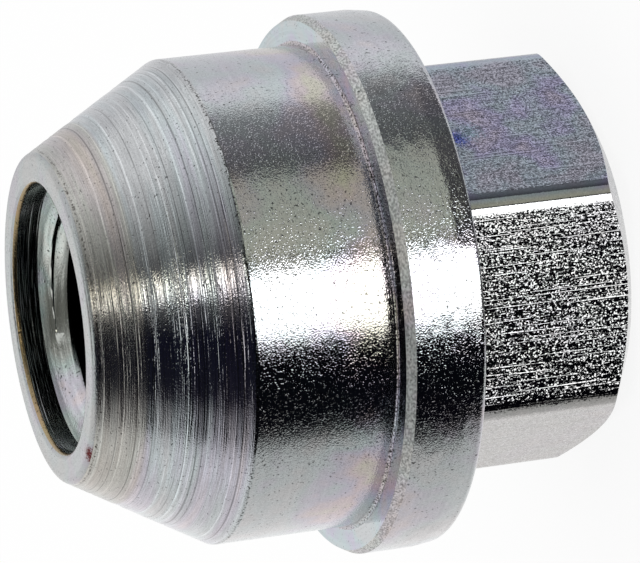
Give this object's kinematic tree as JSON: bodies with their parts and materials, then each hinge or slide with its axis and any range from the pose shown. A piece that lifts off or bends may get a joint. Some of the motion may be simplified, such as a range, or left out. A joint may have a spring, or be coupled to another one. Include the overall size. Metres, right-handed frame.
{
  "type": "lug nut",
  "caption": "Open-ended lug nut with a conical seat, a plain barrel, a thick collar and a hexagon head around a metric fine through thread.",
  "frame": {"origin": "centre of the flat ring on the hexagon's end face, where the thread's axis crosses it", "axes": "+Z along the thread's axis from the hexagon to the nose, +X through a corner of the hexagon, +Y across two flats"},
  "size_m": [0.0278, 0.0278, 0.0282],
  "materials": {
    "zinc_plated_steel": "bright zinc plate with a clear, faintly iridescent passivate over turned and rolled steel"
  },
  "bodies": {
    "root": {"lug_nut": "zinc_plated_steel"}
  },
  "joints": []
}
